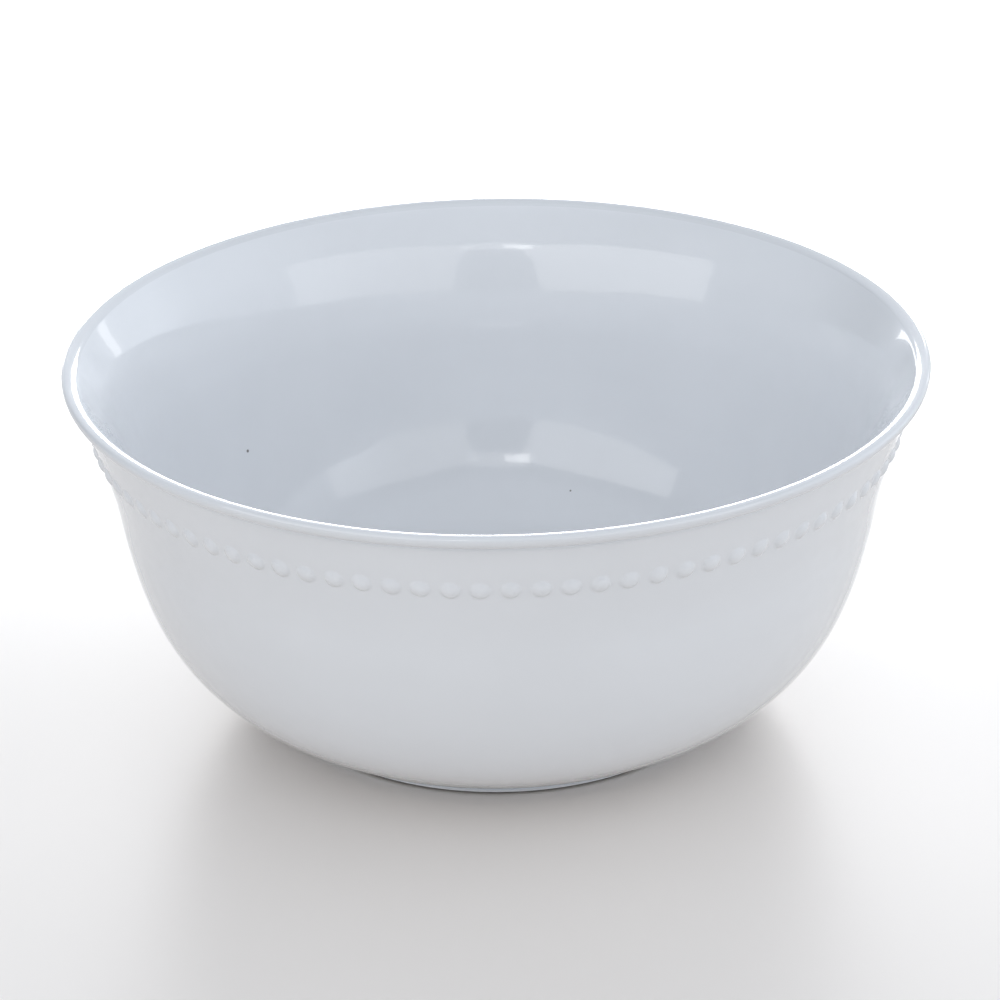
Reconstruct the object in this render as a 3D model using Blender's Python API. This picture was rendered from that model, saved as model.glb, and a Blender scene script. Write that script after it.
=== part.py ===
"""Porcelain serving bowl with a rolled rim, a beaded border and a turned foot ring.

The bowl stands on the plane z = 0 and its axis is +Z.  Every element that is formed on its own and
joined to the bowl body is one closed solid, with a small gap where two of them meet.
"""

import math

import bmesh
import bpy
from mathutils import Vector
from mathutils.geometry import interpolate_bezier

MM = 0.001                     # every dimension below is in millimetres, and the solids are in metres

# Driving dimensions
RIM_RADIUS = 127.0             # outside of the rolled rim
HEIGHT = 111.4                 # table to the top of the rim
ROLL_RADIUS = 2.25             # half the thickness of the rolled rim
FLOOR_TOP = 11.0               # inside of the floor, above the table
FLOOR_UNDERSIDE = 5.5          # underside of the floor, inside the foot ring
BASE = 2.3                     # lowest face of the body, where the foot ring joins it
JOINT_GAP = 0.3                # clearance between neighbouring solids

FOOT_RADIUS = 66.5             # outside of the foot ring
FOOT_WIDTH = 7.5               # radial width of the foot ring
FOOT_EDGE = 0.8                # rounding of the foot ring's lower edges
RECESS_RADIUS = 57.8           # recess inside the foot ring, at the floor's underside
RECESS_MOUTH_RADIUS = 58.6     # the same recess, at its mouth

BEADS = 91                     # raised beads round the border
STRIPS = 7                     # backing strips that the beads are formed on
BORDER_HEIGHT = 91.7           # table to the middle of the beads
BEAD_DIAMETER = 6.3
BEAD_PROUD = 1.1               # how far a bead stands out of the wall
SHOULDER_REACH = 0.72          # a dome's shoulder, as a share of the bead's radius
SHOULDER_PROUD = 0.7           # and as a share of how far it stands out
STRIP_WIDTH = 7.0              # along the wall, bottom to top
STRIP_THICKNESS = 0.9
FIRST_STRIP_MIDDLE = math.radians(269.6)

# Outline of the wall, as (radius, height) knots with a curve's two handles between them
OUTER_BELLY = ((66.9, BASE), (94.0, 15.8), (106.1, 27.3), (112.9, 70.1))
OUTER_FLARE = ((112.9, 70.1), (114.7, 81.4), (122.0, 102.7), (123.2, 107.0))
INNER_BELLY = ((60.1, FLOOR_TOP), (96.3, FLOOR_TOP), (104.3, 51.3), (107.5, 71.0))
INNER_FLARE = ((107.5, 71.0), (108.8, 79.1), (111.9, 94.0), (116.5, 101.2))
INNER_LIP = ((116.5, 101.2), (119.4, 105.8), (120.6, 108.8))  # its last knot is the cove's end
COVE_INNER_ANGLE = math.radians(155)
COVE_OUTER_ANGLE = math.radians(234)

# Fineness: whole numbers of sides and of points on each curve
SIDES = 112                    # shared by every turned piece, so their flats line up
BELLY_POINTS = 9
FLARE_POINTS = 6
LIP_POINTS = 4
COVE_POINTS = 4
ROLL_POINTS = 12
EDGE_POINTS = 3
BEAD_SIDES = 8
SHARP_ANGLE = math.radians(35)
MERGE_DISTANCE = 0.001

# Name, linear colour and roughness of each element's glaze
GLAZED_BODY = ("glazed_porcelain_body", (0.80, 0.83, 0.86, 1.0), 0.12)
GLAZED_RIM = ("glazed_porcelain_rim", (0.82, 0.85, 0.88, 1.0), 0.10)
GLAZED_BEADS = ("glazed_porcelain_beads", (0.84, 0.86, 0.88, 1.0), 0.14)
GLAZED_FOOT = ("glazed_porcelain_foot", (0.78, 0.79, 0.80, 1.0), 0.30)


def clear_scene():
    """Remove every object that the file opened with."""
    for obj in list(bpy.data.objects):
        bpy.data.objects.remove(obj, do_unlink=True)


def porcelain(name, colour, roughness):
    """A Principled material for one glazed element."""
    material = bpy.data.materials.new(name)
    material.use_nodes = True
    shader = material.node_tree.nodes["Principled BSDF"]
    shader.inputs["Base Color"].default_value = colour
    shader.inputs["Roughness"].default_value = roughness
    shader.inputs["Metallic"].default_value = 0.0
    material.diffuse_color = colour
    return material


def bezier(knots, count):
    """Points along one cubic curve, from a knot, two handles and a knot, as (radius, height)."""
    return [tuple(point) for point in interpolate_bezier(*map(Vector, knots), count)]


def arc(centre, radius, start, end, count):
    """Points along an arc in the (radius, height) plane."""
    step = (end - start) / (count - 1)
    angles = [start + step * i for i in range(count)]
    return [(centre[0] + radius * math.cos(a), centre[1] + radius * math.sin(a)) for a in angles]


def radius_at(outline, height):
    """Radius of a rising outline at one height."""
    for (r0, z0), (r1, z1) in zip(outline, outline[1:]):
        if z0 <= height <= z1:
            return r0 + (r1 - r0) * (height - z0) / (z1 - z0)
    raise ValueError("the outline does not reach that height")


def outer_wall():
    """Outside of the wall, from the foot up to the rim."""
    return bezier(OUTER_BELLY, BELLY_POINTS) + bezier(OUTER_FLARE, FLARE_POINTS)[1:]


def roll_centre():
    """Centre of the rolled rim's section."""
    return RIM_RADIUS - ROLL_RADIUS, HEIGHT - ROLL_RADIUS


def border_line():
    """Middle of the border on the wall, and the wall's lean from the vertical there."""
    wall = outer_wall()
    reach = STRIP_WIDTH / 4
    low = radius_at(wall, BORDER_HEIGHT - reach)
    high = radius_at(wall, BORDER_HEIGHT + reach)
    return (low + high) / 2, math.atan((high - low) / (2 * reach))


def on_wall(along, proud):
    """(radius, height) of a point at a distance up the border's slope and out from it."""
    radius, lean = border_line()
    return (
        radius + along * math.sin(lean) + proud * math.cos(lean),
        BORDER_HEIGHT + along * math.cos(lean) - proud * math.sin(lean),
    )


def strip_groove():
    """Section of the shallow groove that the bead strips lie in, from its low edge to its high edge."""
    half = STRIP_WIDTH / 2 + JOINT_GAP
    depth = STRIP_THICKNESS + JOINT_GAP
    return [on_wall(-half, 0), on_wall(-half, -depth), on_wall(half, -depth), on_wall(half, 0)]


def link_object(name, mesh, finish):
    """Put a mesh in the scene under its node name, shaded smooth and with its own material."""
    mesh.shade_smooth()
    mesh.set_sharp_from_angle(angle=SHARP_ANGLE)
    mesh.materials.append(porcelain(*finish))
    obj = bpy.data.objects.new(name, mesh)
    bpy.context.collection.objects.link(obj)
    return obj


def mesh_from(shape, name):
    """Turn a finished bmesh into a mesh with its faces pointing out."""
    bmesh.ops.recalc_face_normals(shape, faces=shape.faces)
    mesh = bpy.data.meshes.new(name)
    shape.to_mesh(mesh)
    shape.free()
    return mesh


def turned(name, section, closed):
    """A solid of revolution: a section of (radius, height) points spun about +Z."""
    shape = bmesh.new()
    points = [shape.verts.new((r * MM, 0, z * MM)) for r, z in section]
    ends = points[1:] + points[:1] if closed else points[1:]
    edges = [shape.edges.new(pair) for pair in zip(points, ends)]
    bmesh.ops.spin(
        shape,
        geom=points + edges,
        axis=(0, 0, 1),
        cent=(0, 0, 0),
        angle=math.tau,
        steps=SIDES,
        use_merge=True,
    )
    bmesh.ops.remove_doubles(shape, verts=shape.verts, dist=MERGE_DISTANCE * MM)
    return mesh_from(shape, name)


def bowl_body():
    """Wall, floor and underside, open at the top where a cove holds the rolled rim."""
    groove = strip_groove()
    wall = outer_wall()
    below = [point for point in wall if point[1] < groove[0][1]]
    above = [point for point in wall if point[1] > groove[-1][1]]
    cove = arc(roll_centre(), ROLL_RADIUS + JOINT_GAP, COVE_OUTER_ANGLE, COVE_INNER_ANGLE, COVE_POINTS)
    belly = bezier(INNER_BELLY, BELLY_POINTS)
    flare = bezier(INNER_FLARE, FLARE_POINTS)
    lip = bezier((*INNER_LIP, cove[-1]), LIP_POINTS)
    underside = [(0, FLOOR_UNDERSIDE), (RECESS_RADIUS, FLOOR_UNDERSIDE), (RECESS_MOUTH_RADIUS, BASE)]
    inside = lip[-2::-1] + flare[-2::-1] + belly[-2::-1] + [(0, FLOOR_TOP)]
    return turned("bowl_body", underside + below + groove + above[:-1] + cove + inside, closed=False)


def rim_roll():
    """The rounded roll that finishes the rim."""
    section = arc(roll_centre(), ROLL_RADIUS, 0, math.tau, ROLL_POINTS + 1)[:-1]
    return turned("rim_roll", section, closed=True)


def foot_ring():
    """The ring that the bowl stands on, with both lower edges rounded."""
    top = BASE - JOINT_GAP
    outer = (FOOT_RADIUS - FOOT_EDGE, FOOT_EDGE)
    inner = (FOOT_RADIUS - FOOT_WIDTH + FOOT_EDGE, FOOT_EDGE)
    section = [(FOOT_RADIUS - FOOT_WIDTH, top)]
    section += arc(inner, FOOT_EDGE, math.pi, math.pi * 1.5, EDGE_POINTS)
    section += arc(outer, FOOT_EDGE, math.pi * 1.5, math.tau, EDGE_POINTS)
    section += [(FOOT_RADIUS, top)]
    return turned("foot_ring", section, closed=True)


def bead_strip():
    """One strip of the border: a thin backing, flush with the wall, with its beads standing out."""
    shape = bmesh.new()
    count = BEADS // STRIPS
    pitch = math.tau / BEADS
    border_radius = border_line()[0]
    half_width = STRIP_WIDTH / 2
    end_trim = JOINT_GAP / 2 / border_radius

    def vertex(azimuth, along, proud):
        radius, height = on_wall(along, proud)
        point = (radius * math.cos(azimuth), radius * math.sin(azimuth), height)
        return shape.verts.new(Vector(point) * MM)

    def column(azimuth):
        """The strip's four corners at one azimuth: front low, front high, back high, back low."""
        front = [vertex(azimuth, along, 0) for along in (-half_width, half_width)]
        back = [vertex(azimuth, along, -STRIP_THICKNESS) for along in (half_width, -half_width)]
        return front + back

    def ring(azimuth, share, proud):
        """Points round a bead, at a share of its radius; the first one is low and to the right."""
        reach = BEAD_DIAMETER / 2 * share
        points = []
        for i in range(BEAD_SIDES):
            turn = math.tau * (i + 0.5) / BEAD_SIDES - math.pi / 2
            across = reach * math.cos(turn)
            points.append(vertex(azimuth + across / border_radius, reach * math.sin(turn), proud))
        return points

    def dome(azimuth, left, right):
        """One bead on its patch of the strip, between the columns on either side."""
        base = ring(azimuth, 1.0, 0)
        shoulder = ring(azimuth, SHOULDER_REACH, BEAD_PROUD * SHOULDER_PROUD)
        top = vertex(azimuth, 0, BEAD_PROUD)
        for i in range(BEAD_SIDES):
            j = (i + 1) % BEAD_SIDES
            shape.faces.new((base[i], base[j], shoulder[j], shoulder[i]))
            shape.faces.new((shoulder[i], shoulder[j], top))
        corners = (right[0], right[1], left[1], left[0])
        for side, corner in enumerate(corners):
            first = base[2 * side]
            second = base[2 * side + 1]
            following = base[(2 * side + 2) % BEAD_SIDES]
            shape.faces.new((corner, corners[(side + 1) % 4], following, second))
            shape.faces.new((corner, second, first))

    # Columns stand midway between the beads, and the two end ones draw back for the joint
    azimuths = [(i - count / 2) * pitch for i in range(count + 1)]
    azimuths[0] += end_trim
    azimuths[-1] -= end_trim
    columns = [column(azimuth) for azimuth in azimuths]
    for i, (left, right) in enumerate(zip(columns, columns[1:])):
        dome((i - (count - 1) / 2) * pitch, left, right)
        for a, b in ((1, 2), (2, 3), (3, 0)):
            shape.faces.new((left[a], left[b], right[b], right[a]))
    shape.faces.new(columns[0])
    shape.faces.new(columns[-1])
    return mesh_from(shape, "bead_strip")


def build():
    """Make every element of the bowl."""
    clear_scene()
    link_object("bowl_body", bowl_body(), GLAZED_BODY)
    link_object("rim_roll", rim_roll(), GLAZED_RIM)
    link_object("foot_ring", foot_ring(), GLAZED_FOOT)
    first = link_object("bead_strip_1", bead_strip(), GLAZED_BEADS)
    first.rotation_euler.z = FIRST_STRIP_MIDDLE
    for number in range(2, STRIPS + 1):
        strip = bpy.data.objects.new(f"bead_strip_{number}", first.data)
        strip.rotation_euler.z = FIRST_STRIP_MIDDLE + math.tau * (number - 1) / STRIPS
        bpy.context.collection.objects.link(strip)


build()
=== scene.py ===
"""Looks of the porcelain serving bowl: fine turned surfaces, glaze, a soft studio and the camera."""

import math
import random

import bpy
import numpy as np
from mathutils import Euler, Matrix, Vector
from mathutils.geometry import interpolate_bezier


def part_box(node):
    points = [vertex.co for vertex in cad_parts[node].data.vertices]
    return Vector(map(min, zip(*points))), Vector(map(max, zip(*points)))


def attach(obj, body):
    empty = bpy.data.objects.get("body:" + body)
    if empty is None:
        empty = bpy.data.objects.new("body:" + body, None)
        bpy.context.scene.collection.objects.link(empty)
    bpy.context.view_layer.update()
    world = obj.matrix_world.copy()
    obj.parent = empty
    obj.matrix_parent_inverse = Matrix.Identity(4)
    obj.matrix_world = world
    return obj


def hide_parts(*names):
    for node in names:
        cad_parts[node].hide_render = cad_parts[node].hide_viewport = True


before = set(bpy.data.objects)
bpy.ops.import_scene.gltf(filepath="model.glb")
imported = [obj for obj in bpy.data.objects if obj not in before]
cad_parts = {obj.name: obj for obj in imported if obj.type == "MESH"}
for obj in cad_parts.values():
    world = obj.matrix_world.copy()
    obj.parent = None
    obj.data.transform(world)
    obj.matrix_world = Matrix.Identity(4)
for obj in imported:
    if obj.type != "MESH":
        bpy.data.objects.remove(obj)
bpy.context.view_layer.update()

MM = 0.001                     # dimensions below are in millimetres unless they say otherwise

# Read from the frame, whose boxes have a low and a high corner
RIM_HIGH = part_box("rim_roll")[1] / MM
FOOT_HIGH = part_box("foot_ring")[1] / MM
BODY_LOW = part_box("bowl_body")[0] / MM
RIM_RADIUS = RIM_HIGH.x
HEIGHT = RIM_HIGH.z
FOOT_RADIUS = FOOT_HIGH.x
BASE = BODY_LOW.z

# Outline of the wall, the same knots and handles as the solids have
OUTER_BELLY = ((66.9, BASE), (94.0, 15.8), (106.1, 27.3), (112.9, 70.1))
OUTER_FLARE = ((112.9, 70.1), (114.7, 81.4), (122.0, 102.7), (123.2, 107.0))
FLOOR_TOP = 11.0
INNER_BELLY = ((60.1, FLOOR_TOP), (96.3, FLOOR_TOP), (104.3, 51.3), (107.5, 71.0))
INNER_FLARE = ((107.5, 71.0), (108.8, 79.1), (111.9, 94.0), (116.5, 101.2))
INNER_LIP = ((116.5, 101.2), (119.4, 105.8))

# Where the pieces meet, tangent to each other so that the glaze runs on across the joint
CREASE_HEIGHT = 105.2          # the wall's straight flare ends here and turns out under the roll
CREASE_REACH = 1.3             # handles of the curves that lead into the roll
CREASE_PULL = 0.8
LIP_PULL = 1.0
# The rolled rim's section: arcs of these radii up to these angles, 0 straight out and 90 straight up
ROLL_START = -110
ROLL_ARCS = ((2.7, 0), (1.3, 84), (4.5, 105), (3.7, 140))

FOOT_SEAM = 1.75               # the foot ring's top, where the body sits on it
FOOT_WIDTH = 7.5
FOOT_EDGE = 0.8                # rounding of the lower edges
FOOT_FILLET = 2.6              # how far up the wall the glaze fills the angle above the foot
SEAM_PULL = 0.55               # handles of that fillet
WALL_PULL = 1.2
GLAZE_LINE = 0.66              # the glaze was wiped off below this height
GLAZE_STEP = 0.07              # thickness of the glaze at that line
FLOOR_UNDERSIDE = 5.5
RECESS_ROUND = 2.2             # rounding where the recess meets the foot ring

BEADS = 91
STRIPS = 7
BORDER_HEIGHT = 91.7
BEAD_RADIUS = 2.85
BEAD_PROUD = 1.1
BEAD_SOFTNESS = 0.2            # glaze fillet round a bead
BEAD_SINK = 0.02               # the glaze between the beads lies this far under the wall's surface
BEAD_DRIFT = 0.12              # no two beads are quite alike: shift, stretch, height and tilt
BEAD_STRETCH = (0.97, 1.03)
BEAD_GROWTH = (0.93, 1.05)
BEAD_TILT = 0.06
FIRST_STRIP_MIDDLE = math.radians(269.6)

SIDES = 420                    # steps round the turned pieces
BEAD_COLUMNS = 30              # steps across one bead's share of the border
BEAD_ROWS = 27                 # points up the strip
SHARP_ANGLE = math.radians(50)
STRIP_HALF_WIDTH = 4.1
STRIP_DEPTH = 1.0
STRIP_EDGE = 0.4               # bare strip beyond the beads, before it dips
STRIP_DIP = 0.25               # how far the strip's long edges dip under the wall's surface

# Unevenness of a fired bowl
OVALITY = 0.10
THREE_LOBES = 0.05
THROWING_LINES = 0.025
RIM_WAVE = 0.08

# Colours, linear
WHITE = (0.80, 0.815, 0.84)
# Tint of pooled glaze, partly real and partly painted shade in the creases under the roll and above the
# foot
POOL_TINT_AND_CREASE_SHADE = (0.66, 0.71, 0.77)
ROLL_PAINTED_SHADE = 0.93              # the roll's white is darkened by this factor: painted shade
DRIFT_SHADE = 0.975            # the darker end of the slow drift in the white
IRON = (0.12, 0.10, 0.09)
# The bare bearing edge's colours are painted contact shade, far darker than bare porcelain.
BARE_WITH_PAINTED_CONTACT_SHADE = (0.11, 0.095, 0.08)
BARE_POOL_WITH_PAINTED_CONTACT_SHADE = (0.08, 0.07, 0.06)
FLOOR_COLOUR = (0.845, 0.797, 0.753, 1.0)
ROOM_TINT = (0.94, 1.0, 1.08)

# Two iron specks in the glaze inside, as (place, width)
SPECKS = (((-81.1, 63.4, 50.2), 1.05), ((20.2, 87.9, 24.9), 0.65))

# Camera: place in rim radii, angles from level and from straight ahead
CAMERA_PLACE = (0.3028, -8.2986, 4.4089)
CAMERA_PITCH = math.radians(25.23)
CAMERA_TURN = math.radians(2.06)
CAMERA_ROLL = math.radians(-0.885)
CAMERA_LENS = 140.5
CAMERA_SENSOR = 36

FLOOR_REACH = 6                # metres from the middle of the floor to its edges

# A glossy bowl mirrors itself many times along its wall just inside the lip
GLOSSY_BOUNCES = 24

# Light: radiance of each zone of the room, and soft boxes as (azimuths, elevations, distance, radiance),
# with angles in degrees and distances in metres
LIGHTS_AIM = 0.06              # height that the boxes surround
HIGH_FADE = (math.radians(38), math.radians(56))
REAR_FADE = (0.15, 0.5)        # the other fades are along the direction's own -1 to 1, across or back
OVERHEAD_FADE = (-0.15, 0.15)
REAR_LEFT_FADE = (-0.8, -0.45)
SIDE_FADE = (0.5, 0.95)
ROOM = {
    "high_front": 0.81,
    "high_rear": 0.57,
    "front": 0.48,
    "rear": 0.92,
    "rear_left": 0.22,
    "left": 0.18,
    "right": 0.64,
}
SOFT_LIGHTS = {
    "left_wing": ((-70, -10), (9, 42), 1.2, 1.0),
    "right_wing": ((13, 70), (9, 42), 1.2, 0.65),
    "over_camera": ((-10, 13), (33, 42), 1.2, 0.7),
    "lamp": ((-11, -1), (34, 39), 1.25, 2.7),
    "strip_rear_right": ((142, 146), (2, 15), 1.5, 1.1),
    "patch_rear_left": ((-165, -148), (-2, 7), 1.5, 2.1),
    "back_window": ((163, 196), (6, 20), 2.5, 7.0),
}


def bezier(knots, count):
    """Points along one cubic curve, as (radius, height)."""
    return [np.array(point) for point in interpolate_bezier(*map(Vector, knots), count)]


def arc(centre, radius, start, end, count):
    """Points along an arc in the (radius, height) plane."""
    return [centre + radius * np.array((math.cos(a), math.sin(a))) for a in np.linspace(start, end, count)]


def roll_section():
    """The rolled rim from the crease under it, round its outside and its flat top, to the lip inside.

    A chord inside the wall closes it.
    """
    point = np.zeros(2)
    start = math.radians(ROLL_START)
    section = [point]
    for radius, end in ROLL_ARCS:
        end = math.radians(end)
        centre = point - radius * np.array((math.cos(start), math.sin(start)))
        section += arc(centre, radius, start, end, 24)[1:]
        point = section[-1]
        start = end
    section = np.array(section)
    return list(section + (RIM_RADIUS - section[:, 0].max(), HEIGHT - section[:, 1].max()))


def heading(degrees):
    """The direction along the roll's section where its surface faces this angle."""
    angle = math.radians(degrees)
    return np.array((-math.sin(angle), math.cos(angle)))


def outer_wall():
    """Outside of the wall, from the foot's fillet to the crease under the rolled rim."""
    wall = bezier(OUTER_BELLY, 90) + bezier(OUTER_FLARE, 60)[1:]
    fillet_top = FOOT_FILLET + BASE * 0.4
    return [point for point in wall if fillet_top <= point[1] <= CREASE_HEIGHT]


def body_section():
    """Closed section of the body, from the middle of the underside round to the middle of the floor."""
    wall = outer_wall()
    seam_outer = np.array((FOOT_RADIUS, FOOT_SEAM))
    seam_inner = np.array((FOOT_RADIUS - FOOT_WIDTH, FOOT_SEAM))
    recess = bezier(
        (
            (seam_inner[0] - RECESS_ROUND, FLOOR_UNDERSIDE),
            (seam_inner[0] - RECESS_ROUND * 0.4, FLOOR_UNDERSIDE),
            (seam_inner[0], FLOOR_UNDERSIDE - RECESS_ROUND * 0.5),
            tuple(seam_inner),
        ),
        14,
    )
    start = wall[0]
    slope = (wall[1] - wall[0]) / np.linalg.norm(wall[1] - wall[0])
    seam_handle = tuple(seam_outer + (0, SEAM_PULL))
    wall_handle = tuple(start - slope * WALL_PULL)
    fillet = bezier((tuple(seam_outer), seam_handle, wall_handle, tuple(start)), 12)
    top = wall[-1]
    slope = (wall[-1] - wall[-2]) / np.linalg.norm(wall[-1] - wall[-2])
    roll = roll_section()
    end = roll[0] - heading(ROLL_START) * CREASE_PULL
    crease = bezier((tuple(top), tuple(top + slope * CREASE_REACH), tuple(end), tuple(roll[0])), 16)
    lip = roll[-1] + heading(ROLL_ARCS[-1][1]) * LIP_PULL
    inner_lip = bezier((tuple(roll[-1]), tuple(lip), INNER_LIP[1], INNER_LIP[0]), 36)
    flare = bezier(INNER_FLARE, 44)[::-1]
    belly = bezier(INNER_BELLY, 80)[::-1]
    floor = [np.array((r, FLOOR_TOP)) for r in np.linspace(INNER_BELLY[0][0], 0, 14)[1:]]
    under = [np.array((r, FLOOR_UNDERSIDE)) for r in np.linspace(0, seam_inner[0] - RECESS_ROUND, 14)]
    inside = inner_lip + flare[1:] + belly[1:] + floor
    return under + recess[1:] + fillet + wall[1:] + crease[1:] + inside


def foot_section():
    """The foot ring, with the glaze standing a little proud of the bare bearing edge."""
    outer = np.array((FOOT_RADIUS - FOOT_EDGE, FOOT_EDGE))
    inner = np.array((FOOT_RADIUS - FOOT_WIDTH + FOOT_EDGE, FOOT_EDGE))
    turn = math.asin((FOOT_EDGE - GLAZE_LINE) / FOOT_EDGE)
    section = [np.array((FOOT_RADIUS - FOOT_WIDTH, z)) for z in np.linspace(FOOT_SEAM, FOOT_EDGE, 5)[:-1]]
    section += arc(inner, FOOT_EDGE, math.pi, math.pi + turn, 4)
    section += arc(inner, FOOT_EDGE - GLAZE_STEP, math.pi + turn * 1.15, math.pi * 1.5, 8)
    section += [np.array((r, GLAZE_STEP)) for r in np.linspace(inner[0], outer[0], 8)[1:-1]]
    section += arc(outer, FOOT_EDGE - GLAZE_STEP, math.pi * 1.5, math.tau - turn * 1.15, 8)
    section += arc(outer, FOOT_EDGE, math.tau - turn, math.tau, 4)
    section += [np.array((FOOT_RADIUS, z)) for z in np.linspace(FOOT_EDGE, FOOT_SEAM, 5)[1:]]
    return section


def warp(points):
    """Small unevenness that grows up the wall: a trace of ovality, throwing lines and a wave in the rim."""
    x, y, z = points[:, 0], points[:, 1], points[:, 2]
    azimuth = np.arctan2(y, x)
    radius = np.hypot(x, y)
    lift = np.clip(z / HEIGHT, 0, 1)
    away = np.clip(radius / RIM_RADIUS, 0, 1) * lift
    out = away * (OVALITY * np.cos(2 * azimuth + 0.7) + THREE_LOBES * np.cos(3 * azimuth + 2.1))
    out += away * THROWING_LINES * np.sin(z * 0.55 + 1.3 * np.sin(azimuth))
    up = away * away * RIM_WAVE * np.cos(2 * azimuth + 2.4)
    warped = points.copy()
    with np.errstate(invalid="ignore", divide="ignore"):
        scale = np.where(radius > 1e-6, 1 + out / np.maximum(radius, 1e-6), 1.0)
    warped[:, 0] *= scale
    warped[:, 1] *= scale
    warped[:, 2] += up
    return warped


def mesh_object(name, points, faces, pool_and_shade):
    """A smooth mesh object from points in millimetres, with how deep the glaze pools, which also carries
    painted crease shade, as an attribute.
    """
    mesh = bpy.data.meshes.new(name)
    mesh.from_pydata((warp(np.asarray(points, float)) * MM).tolist(), [], faces)
    mesh.validate()
    layer = mesh.attributes.new("glaze_pool_and_crease_shade", "FLOAT", "POINT")
    layer.data.foreach_set("value", np.asarray(pool_and_shade, np.float32))
    mesh.shade_smooth()
    mesh.set_sharp_from_angle(angle=SHARP_ANGLE)
    obj = bpy.data.objects.new(name, mesh)
    bpy.context.scene.collection.objects.link(obj)
    return obj


def turned(name, section, pool_and_shade):
    """A closed solid of revolution. A section from the axis back to the axis is closed by its two poles."""
    section = np.asarray(section)
    polar = section[0][0] < 1e-6
    rings = section[1:-1] if polar else section
    ring_pool_and_shade = pool_and_shade[1:-1] if polar else pool_and_shade
    angles = np.arange(SIDES) * math.tau / SIDES
    points = np.stack(
        [
            np.outer(rings[:, 0], np.cos(angles)),
            np.outer(rings[:, 0], np.sin(angles)),
            np.repeat(rings[:, 1:2], SIDES, axis=1),
        ],
        axis=-1,
    ).reshape(-1, 3)
    pool_and_shade_amount = np.repeat(ring_pool_and_shade, SIDES)
    count = len(rings)
    step = np.arange(SIDES)
    following = (step + 1) % SIDES
    faces = []
    for i in range(count - 1 if polar else count):
        a = i * SIDES
        b = ((i + 1) % count) * SIDES
        faces += np.stack([a + step, a + following, b + following, b + step], axis=1).tolist()
    if polar:
        first = len(points)
        points = np.vstack([points, (0, 0, section[0][1]), (0, 0, section[-1][1])])
        pool_and_shade_amount = np.append(pool_and_shade_amount, [pool_and_shade[0], pool_and_shade[-1]])
        last = (count - 1) * SIDES
        faces += np.stack([np.full(SIDES, first), following, step], axis=1).tolist()
        faces += np.stack([np.full(SIDES, first + 1), last + step, last + following], axis=1).tolist()
    return mesh_object(name, points, faces, pool_and_shade_amount)


def pooled_and_shaded(section, places, reach):
    """How deep the glaze pools along a section, which also paints shade into the creases: 1 at the given
    places, fading over the reach.
    """
    section = np.asarray(section)
    pool_and_shade_amount = np.zeros(len(section))
    for place in places:
        distance = np.linalg.norm(section - np.asarray(place), axis=1)
        pool_and_shade_amount = np.maximum(pool_and_shade_amount, np.exp(-((distance / reach) ** 2)))
    return pool_and_shade_amount


class Wall:
    """The wall's outside near the border, by distance up its slope from the middle of the beads."""

    def __init__(self):
        wall = np.array(outer_wall())
        length = np.concatenate([[0], np.cumsum(np.linalg.norm(np.diff(wall, axis=0), axis=1))])
        middle = np.interp(BORDER_HEIGHT, wall[:, 1], length)
        self.along = length - middle
        self.points = wall
        tangent = np.gradient(wall, length, axis=0)
        tangent /= np.linalg.norm(tangent, axis=1)[:, None]
        self.normals = np.stack([tangent[:, 1], -tangent[:, 0]], axis=1)

    def at(self, along, proud):
        """(radius, height) of points up the slope and out of the wall."""
        base = np.stack([np.interp(along, self.along, self.points[:, i]) for i in (0, 1)], axis=-1)
        normal = np.stack([np.interp(along, self.along, self.normals[:, i]) for i in (0, 1)], axis=-1)
        return base + normal * proud[..., None]


def bead_relief(across, up, bead):
    """Height of one bead and its glaze fillet above the wall."""
    x = (across - bead["shift"][0]) / bead["stretch"]
    y = (up - bead["shift"][1]) * bead["stretch"]
    reach = np.hypot(x, y)
    proud = bead["proud"]
    ball = (BEAD_RADIUS ** 2 + proud ** 2) / (2 * proud)
    cap = np.sqrt(np.maximum(ball ** 2 - np.minimum(reach, BEAD_RADIUS) ** 2, 0)) - (ball - proud)
    edge_slope = BEAD_RADIUS / math.sqrt(ball ** 2 - BEAD_RADIUS ** 2)
    cap = np.where(reach > BEAD_RADIUS, -(reach - BEAD_RADIUS) * edge_slope, cap)
    cap += bead["tilt"][0] * x * np.clip(cap, 0, 1) + bead["tilt"][1] * y * np.clip(cap, 0, 1)
    return 0.5 * (cap + np.sqrt(cap ** 2 + BEAD_SOFTNESS ** 2))


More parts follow.
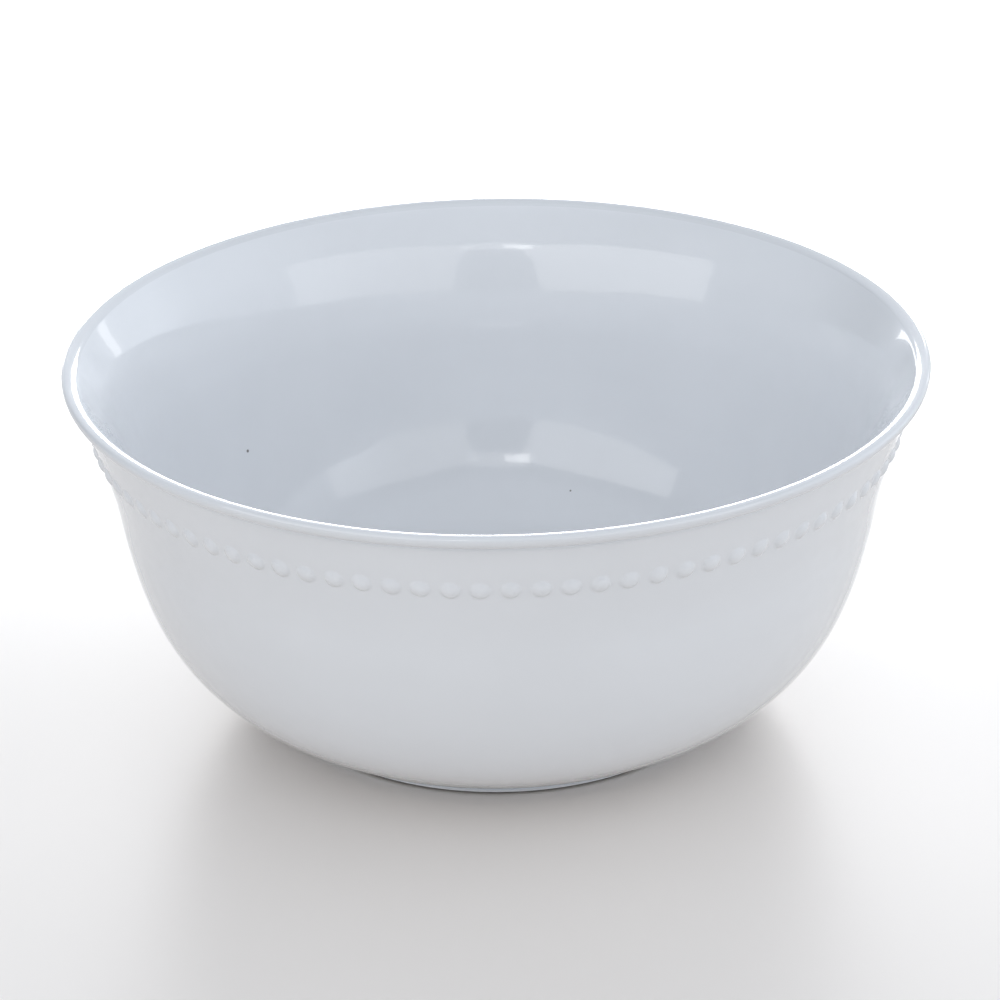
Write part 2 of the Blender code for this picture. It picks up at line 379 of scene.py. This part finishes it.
def bead_strip(number, wall, draw):
    """Thirteen beads in one closed strip, whose backing lies just under the wall's surface."""
    count = BEADS // STRIPS
    pitch = math.tau / BEADS
    border_radius = float(np.interp(0, wall.along, wall.points[:, 0]))
    pitch_length = pitch * border_radius
    beads = [
        {
            "shift": (draw.uniform(-BEAD_DRIFT, BEAD_DRIFT), draw.uniform(-BEAD_DRIFT, BEAD_DRIFT)),
            "stretch": draw.uniform(*BEAD_STRETCH),
            "proud": BEAD_PROUD * draw.uniform(*BEAD_GROWTH),
            "tilt": (draw.uniform(-BEAD_TILT, BEAD_TILT), draw.uniform(-BEAD_TILT, BEAD_TILT)),
        }
        for _ in range(count)
    ]
    columns = count * BEAD_COLUMNS + 1
    across = (np.arange(columns) / BEAD_COLUMNS - count / 2) * pitch_length
    up = np.linspace(-STRIP_HALF_WIDTH, STRIP_HALF_WIDTH, BEAD_ROWS)
    grid_across, grid_up = np.meshgrid(across, up, indexing="ij")
    relief = np.zeros_like(grid_across)
    for i, bead in enumerate(beads):
        middle = (i - (count - 1) / 2) * pitch_length
        relief = np.maximum(relief, bead_relief(grid_across - middle, grid_up, bead))
    dip_start = BEAD_RADIUS + STRIP_EDGE
    edge = np.clip((np.abs(grid_up) - dip_start) / (STRIP_HALF_WIDTH - dip_start), 0, 1)
    height = relief - BEAD_SINK - STRIP_DIP * edge ** 2
    front = wall.at(grid_up, height)
    back = wall.at(np.stack([up[[0, -1]]] * columns), np.full((columns, 2), -STRIP_DEPTH))
    section = np.concatenate([front, back], axis=1)
    azimuth = FIRST_STRIP_MIDDLE + (number - 1) * math.tau / STRIPS + across / border_radius
    points = np.stack(
        [
            section[..., 0] * np.cos(azimuth)[:, None],
            section[..., 0] * np.sin(azimuth)[:, None],
            section[..., 1],
        ],
        axis=-1,
    ).reshape(-1, 3)
    width = BEAD_ROWS + 2
    ring = list(range(BEAD_ROWS)) + [BEAD_ROWS + 1, BEAD_ROWS]
    faces = []
    for i in range(columns - 1):
        for a, b in zip(ring, ring[1:] + ring[:1]):
            faces.append((i * width + a, (i + 1) * width + a, (i + 1) * width + b, i * width + b))
    faces.append(ring)
    faces.append([(columns - 1) * width + a for a in reversed(ring)])
    return mesh_object(f"bead_strip_{number}_glazed", points, faces, np.zeros(len(points)))


class Glaze:
    """A node-built porcelain glaze: cool white body, a deeper tint where it pools that also paints shade
    into creases, fine surface movement.
    """

    def __init__(self, name, white, pool_and_shade_tint, roughness, coat_roughness):
        self.material = bpy.data.materials.new(name)
        self.material.use_nodes = True
        self.tree = self.material.node_tree
        self.shader = self.tree.nodes["Principled BSDF"]
        self.shader.inputs["Roughness"].default_value = roughness
        self.shader.inputs["IOR"].default_value = 1.5
        self.shader.inputs["Coat Weight"].default_value = 1.0
        self.shader.inputs["Coat Roughness"].default_value = coat_roughness
        self.place = self.add("ShaderNodeTexCoord").outputs["Object"]
        self.colour(white, pool_and_shade_tint)
        self.surface(roughness)

    def add(self, kind, **settings):
        node = self.tree.nodes.new(kind)
        for key, value in settings.items():
            setattr(node, key, value)
        return node

    def noise(self, scale, detail):
        """A noise pattern with features about 1 / scale metres across."""
        node = self.add("ShaderNodeTexNoise")
        node.inputs["Scale"].default_value = scale
        node.inputs["Detail"].default_value = detail
        node.inputs["Roughness"].default_value = 0.5
        self.tree.links.new(self.place, node.inputs["Vector"])
        return node.outputs["Fac"]

    def mapped(self, value, low, high, to_low, to_high):
        node = self.add("ShaderNodeMapRange")
        self.tree.links.new(value, node.inputs["Value"])
        for key, number in zip(("From Min", "From Max", "To Min", "To Max"), (low, high, to_low, to_high)):
            node.inputs[key].default_value = number
        return node.outputs["Result"]

    def mixed(self, factor, first, second):
        node = self.add("ShaderNodeMix", data_type="RGBA")
        self.tree.links.new(factor, node.inputs["Factor"])
        for socket, value in zip((node.inputs[6], node.inputs[7]), (first, second)):
            if isinstance(value, tuple):
                socket.default_value = (*value, 1.0)
            else:
                self.tree.links.new(value, socket)
        return node.outputs[2]

    def colour(self, white, pool_and_shade_tint):
        """Slow drift in the white, and the pooled glaze's tint, which also paints shade into the creases.
        """
        drift = self.mapped(self.noise(22, 3), 0.3, 0.7, 0.0, 1.0)
        shaded = tuple(value * DRIFT_SHADE for value in white)
        base = self.mixed(drift, white, shaded)
        pool_and_shade_amount = self.add("ShaderNodeAttribute", attribute_name="glaze_pool_and_crease_shade").outputs["Fac"]
        self.base = self.mixed(self.mapped(pool_and_shade_amount, 0, 1, 0.0, 0.8), base, pool_and_shade_tint)
        self.tree.links.new(self.base, self.shader.inputs["Base Color"])

    def speck(self, place, width):
        """A dark iron speck under the glaze."""
        reach = self.add("ShaderNodeVectorMath", operation="DISTANCE")
        self.tree.links.new(self.place, reach.inputs[0])
        reach.inputs[1].default_value = [value * MM for value in place]
        edge = self.mapped(reach.outputs["Value"], width * 0.3 * MM, width * 0.6 * MM, 0.9, 0.0)
        self.base = self.mixed(edge, self.base, IRON)
        self.tree.links.new(self.base, self.shader.inputs["Base Color"])

    def surface(self, roughness):
        """The glaze's faint orange peel, its slower waves, and a gloss that varies a little."""
        peel = self.add("ShaderNodeBump")
        peel.inputs["Strength"].default_value = 0.035
        peel.inputs["Distance"].default_value = 0.0004
        self.tree.links.new(self.noise(260, 2), peel.inputs["Height"])
        wave = self.add("ShaderNodeBump")
        wave.inputs["Strength"].default_value = 0.06
        wave.inputs["Distance"].default_value = 0.002
        self.tree.links.new(self.noise(48, 2), wave.inputs["Height"])
        self.tree.links.new(peel.outputs["Normal"], wave.inputs["Normal"])
        self.tree.links.new(wave.outputs["Normal"], self.shader.inputs["Normal"])
        self.tree.links.new(wave.outputs["Normal"], self.shader.inputs["Coat Normal"])
        gloss = self.mapped(self.noise(70, 3), 0.3, 0.7, roughness * 0.8, roughness * 1.25)
        self.tree.links.new(gloss, self.shader.inputs["Roughness"])


def bisque(name):
    """Bare fired porcelain of the bearing edge: matte and finely gritty, its colour darkened as painted
    contact shade under the foot.
    """
    glaze = Glaze(name, BARE_WITH_PAINTED_CONTACT_SHADE, BARE_POOL_WITH_PAINTED_CONTACT_SHADE, roughness=0.75, coat_roughness=0.6)
    glaze.shader.inputs["Coat Weight"].default_value = 0.0
    return glaze.material


def floor():
    """Plain pale floor."""
    mesh = bpy.data.meshes.new("floor")
    corners = [(x * FLOOR_REACH, y * FLOOR_REACH, 0) for x, y in ((-1, -1), (1, -1), (1, 1), (-1, 1))]
    mesh.from_pydata(corners, [], [(0, 1, 2, 3)])
    obj = bpy.data.objects.new("floor", mesh)
    bpy.context.scene.collection.objects.link(obj)
    material = bpy.data.materials.new("pale_floor")
    material.use_nodes = True
    shader = material.node_tree.nodes["Principled BSDF"]
    shader.inputs["Base Color"].default_value = FLOOR_COLOUR
    shader.inputs["Roughness"].default_value = 0.4
    shader.inputs["Coat Weight"].default_value = 1.0
    shader.inputs["Coat Roughness"].default_value = 0.30
    mesh.materials.append(material)
    return obj


def soft_light(name, azimuth, elevation, distance, radiance):
    """A soft box round the bowl, given by the range of directions it fills, in degrees.

    Azimuth 0 is the camera's side of the bowl and 90 is its +X side. The box shows only as light and in
    reflections.
    """
    middle = math.radians(sum(azimuth) / 2)
    rise = math.radians(sum(elevation) / 2)
    width = 2 * distance * math.cos(rise) * math.tan(math.radians(azimuth[1] - azimuth[0]) / 2)
    height = 2 * distance * math.tan(math.radians(elevation[1] - elevation[0]) / 2)
    toward = Vector((math.sin(middle) * math.cos(rise), -math.cos(middle) * math.cos(rise), math.sin(rise)))
    light = bpy.data.lights.new(name, "AREA")
    light.shape = "RECTANGLE"
    light.size = width
    light.size_y = height
    light.energy = radiance * math.pi * width * height
    obj = bpy.data.objects.new(name, light)
    obj.location = Vector((0, 0, LIGHTS_AIM)) + toward * distance
    obj.rotation_euler = toward.to_track_quat("Z", "Y").to_euler()
    obj.visible_camera = False
    bpy.context.scene.collection.objects.link(obj)


class Room:
    """The world shader: soft zones of brightness round the bowl, by direction."""

    def __init__(self):
        world = bpy.data.worlds.new("studio")
        world.use_nodes = True
        bpy.context.scene.world = world
        self.tree = world.node_tree
        place = self.tree.nodes.new("ShaderNodeTexCoord")
        split = self.tree.nodes.new("ShaderNodeSeparateXYZ")
        self.tree.links.new(place.outputs["Generated"], split.inputs[0])
        self.across, self.back, rise = split.outputs
        self.elevation = self.math("ARCSINE", rise, 0.0)
        self.total = None

    def math(self, operation, first, second):
        node = self.tree.nodes.new("ShaderNodeMath")
        node.operation = operation
        for socket, value in zip(node.inputs, (first, second)):
            if isinstance(value, (int, float)):
                socket.default_value = value
            else:
                self.tree.links.new(value, socket)
        return node.outputs[0]

    def fade(self, value, start, end):
        """0 before start and 1 after end, with a soft step between them."""
        node = self.tree.nodes.new("ShaderNodeMapRange")
        node.interpolation_type = "SMOOTHSTEP"
        self.tree.links.new(value, node.inputs["Value"])
        node.inputs["From Min"].default_value = start
        node.inputs["From Max"].default_value = end
        return node.outputs[0]

    def zone(self, radiance, *fades):
        """Add light of one radiance where every fade is open."""
        light = radiance
        for fade in fades:
            light = self.math("MULTIPLY", fade, light)
        self.total = light if self.total is None else self.math("ADD", self.total, light)

    def finish(self, tint):
        background = self.tree.nodes["Background"]
        background.inputs["Color"].default_value = (*tint, 1.0)
        self.tree.links.new(self.total, background.inputs["Strength"])


def studio():
    """A room that is bright behind the bowl and dimmer round it, and soft boxes in front and behind."""
    room = Room()
    high = room.fade(room.elevation, *HIGH_FADE)
    low = room.math("SUBTRACT", 1.0, high)
    rear = room.fade(room.back, *REAR_FADE)
    front = room.fade(room.back, *REAR_FADE[::-1])
    room.zone(ROOM["high_front"], high, room.fade(room.back, *OVERHEAD_FADE[::-1]))
    room.zone(ROOM["high_rear"], high, room.fade(room.back, *OVERHEAD_FADE))
    room.zone(ROOM["front"], front, low)
    room.zone(ROOM["rear"], rear, low, room.fade(room.across, *REAR_LEFT_FADE))
    room.zone(ROOM["rear_left"], rear, low, room.fade(room.across, *REAR_LEFT_FADE[::-1]))
    room.zone(ROOM["left"], room.fade(room.across, *(-edge for edge in SIDE_FADE)), low)
    room.zone(ROOM["right"], room.fade(room.across, *SIDE_FADE), low)
    room.finish(ROOM_TINT)
    for name, (azimuth, elevation, distance, radiance) in SOFT_LIGHTS.items():
        soft_light(name, azimuth, elevation, distance, radiance)


def camera():
    """The camera, looking down at the bowl from the front with a long lens."""
    data = bpy.data.cameras.new("camera")
    data.lens = CAMERA_LENS
    data.sensor_width = CAMERA_SENSOR
    obj = bpy.data.objects.new("camera", data)
    obj.location = Vector(CAMERA_PLACE) * RIM_RADIUS * MM
    turn = Euler((math.pi / 2 - CAMERA_PITCH, 0, CAMERA_TURN)).to_matrix()
    obj.rotation_euler = (turn @ Matrix.Rotation(CAMERA_ROLL, 3, "Z")).to_euler()
    bpy.context.scene.collection.objects.link(obj)
    bpy.context.scene.camera = obj


def finish_piece(piece, materials, node):
    """Give a piece its materials, hang it under the root body and hide the part it stands for."""
    for material in materials:
        piece.data.materials.append(material)
    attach(piece, "root")
    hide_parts(node)


def bowl_body():
    """The turned body, with its two specks."""
    glaze = Glaze("body_glaze", WHITE, POOL_TINT_AND_CREASE_SHADE, roughness=0.16, coat_roughness=0.04)
    for place, width in SPECKS:
        glaze.speck(place, width)
    section = body_section()
    # Pooled glaze tint and painted crease shade under the roll and where the body sits on the foot
    seams = (roll_section()[0], (FOOT_RADIUS, FOOT_SEAM))
    body = turned("bowl_body_glazed", section, pooled_and_shaded(section, seams, reach=1.2))
    finish_piece(body, [glaze.material], "bowl_body")


def rim_roll():
    """The rolled rim, its white darkened as painted shade."""
    # Painted shade: the roll's white is darker than the body's.
    roll_shaded_white = tuple(value * ROLL_PAINTED_SHADE for value in WHITE)
    glaze = Glaze("rim_glaze", roll_shaded_white, POOL_TINT_AND_CREASE_SHADE, roughness=0.12, coat_roughness=0.03)
    section = roll_section()
    # Pooled glaze tint and painted crease shade in the crease under the roll
    roll = turned("rim_roll_glazed", section, pooled_and_shaded(section, (section[0],), reach=0.9))
    finish_piece(roll, [glaze.material], "rim_roll")


def foot_ring():
    """The foot ring, glazed down to the line where the glaze was wiped off; below it the bare edge is
    painted dark as contact shade.
    """
    glaze = Glaze("foot_glaze", WHITE, POOL_TINT_AND_CREASE_SHADE, roughness=0.2, coat_roughness=0.06)
    section = foot_section()
    # Pooled glaze tint and painted crease shade where the foot meets the body
    foot = turned("foot_ring_finished", section, pooled_and_shaded(section, ((FOOT_RADIUS, FOOT_SEAM),), reach=0.5))
    finish_piece(foot, [glaze.material, bisque("bare_porcelain_painted_contact_shade")], "foot_ring")
    # Faces below the glaze line get the bare material, painted dark as contact shade.
    for face in foot.data.polygons:
        face.material_index = int(face.center.z < GLAZE_LINE * MM)


def border():
    """The seven strips of beads."""
    glaze = Glaze("bead_glaze", WHITE, POOL_TINT_AND_CREASE_SHADE, roughness=0.16, coat_roughness=0.04)
    wall = Wall()
    draw = random.Random(91)
    for number in range(1, STRIPS + 1):
        strip = bead_strip(number, wall, draw)
        finish_piece(strip, [glaze.material], f"bead_strip_{number}")


camera()
bowl_body()
rim_roll()
foot_ring()
border()
floor()
studio()
bpy.context.scene.view_settings.view_transform = "Standard"
bpy.context.scene.cycles.glossy_bounces = GLOSSY_BOUNCES
bpy.context.scene.cycles.max_bounces = GLOSSY_BOUNCES
